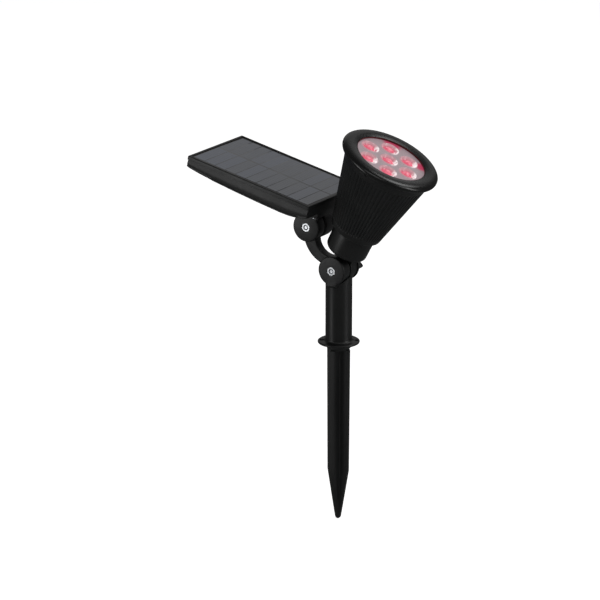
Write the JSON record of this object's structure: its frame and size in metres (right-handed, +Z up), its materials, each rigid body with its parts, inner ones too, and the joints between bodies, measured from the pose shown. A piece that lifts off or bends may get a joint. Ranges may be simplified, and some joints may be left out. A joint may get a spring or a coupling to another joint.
{
  "type": "solar garden light",
  "caption": "Ground-spike solar spotlight: ribbed lamp head and tilting solar panel on a curved link, both on a clevis-topped post with a wall flange.",
  "frame": {"origin": "on the post's axis at the ground line, level with the underside of the flange", "axes": "+Z up along the post; +Y along both knuckle axes, away from the hex-nut side; +X towards the side the lamp leans to, away from the solar panel"},
  "size_m": [0.2192, 0.0886, 0.3569],
  "materials": {
    "black_abs": "satin moulded black ABS",
    "black_pp": "satin moulded black polypropylene",
    "zinc_steel": "bright zinc-plated steel",
    "clear_pc": "clear polished polycarbonate",
    "white_abs": "satin moulded white ABS",
    "red_silicone": "soft red silicone",
    "black_rubber": "matt black rubber",
    "cell_laminate": "monocrystalline cells under clear epoxy",
    "circuit_green": "green solder mask",
    "white_solder_mask": "white solder mask on aluminium",
    "led_red": "red silicone-domed LED package",
    "cell_wrap": "steel can in a blue shrink sleeve"
  },
  "bodies": {
    "spike": {"ground_spike": "black_pp"},
    "post": {"post": "black_abs", "lower_hex_nut": "zinc_steel"},
    "lower_bolt": {"lower_clamp_bolt": "zinc_steel", "lower_plain_washer": "zinc_steel", "lower_wing_head": "black_abs"},
    "link": {"pivot_link": "black_abs", "lower_friction_washer": "black_rubber", "upper_friction_washer": "black_rubber"},
    "lamp": {"lamp_base": "black_abs", "base_gasket": "black_rubber", "lamp_housing": "black_abs", "lamp_bezel": "black_abs", "window_seal": "red_silicone", "front_window": "clear_pc", "lens_holder": "white_abs", "collimator_1": "clear_pc", "collimator_2": "clear_pc", "collimator_3": "clear_pc", "collimator_4": "clear_pc", "collimator_5": "clear_pc", "collimator_6": "clear_pc", "collimator_7": "clear_pc", "led_board": "white_solder_mask", "led_1": "led_red", "led_2": "led_red", "led_3": "led_red", "led_4": "led_red", "led_5": "led_red", "led_6": "led_red", "led_7": "led_red", "battery_cell": "cell_wrap", "cell_cradle": "white_abs", "control_board": "circuit_green"},
    "panel": {"panel_bracket": "black_abs", "upper_hex_nut": "zinc_steel", "panel_tray": "black_abs", "panel_cover": "black_abs", "panel_rim": "black_abs", "pv_laminate": "cell_laminate", "panel_gasket": "black_rubber", "tray_screw_1": "zinc_steel", "tray_screw_2": "zinc_steel", "tray_screw_3": "zinc_steel", "tray_screw_4": "zinc_steel", "bracket_screw_1": "zinc_steel", "bracket_screw_2": "zinc_steel", "bracket_screw_3": "zinc_steel", "bracket_screw_4": "zinc_steel", "charge_board": "circuit_green", "mode_switch": "black_abs"},
    "upper_bolt": {"upper_clamp_bolt": "zinc_steel", "upper_plain_washer": "zinc_steel", "upper_wing_head": "black_abs"},
    "button": {"power_button": "black_rubber"}
  },
  "joints": [
    {"name": "post_swivel", "type": "hinge", "parent": "spike", "child": "post", "pos_m": [0, 0, 0], "axis": [0, 0, 1], "continuous": true},
    {"name": "lamp_tilt", "type": "hinge", "parent": "post", "child": "lamp", "pos_m": [0, 0, 0.068], "axis": [0, 1, 0], "range_deg": [0, 50]},
    {"name": "link_swing", "type": "hinge", "parent": "post", "child": "link", "pos_m": [0, 0, 0.068], "axis": [0, 1, 0], "range_deg": [-40, 0]},
    {"name": "panel_tilt", "type": "hinge", "parent": "link", "child": "panel", "pos_m": [-0.0257, 0, 0.1039], "axis": [0, 1, 0], "range_deg": [-70, 5]},
    {"name": "lower_bolt_turn", "type": "hinge", "parent": "post", "child": "lower_bolt", "pos_m": [0, 0, 0.068], "axis": [0, 1, 0], "continuous": true},
    {"name": "upper_bolt_turn", "type": "hinge", "parent": "panel", "child": "upper_bolt", "pos_m": [-0.0257, 0, 0.1039], "axis": [0, 1, 0], "continuous": true},
    {"name": "button_press", "type": "slide", "parent": "panel", "child": "button", "axis": [0.23, 0, 0.9732], "range_m": [0, 0.0012], "stiffness_N_per_m": 800, "springref_m": -0.0005}
  ]
}
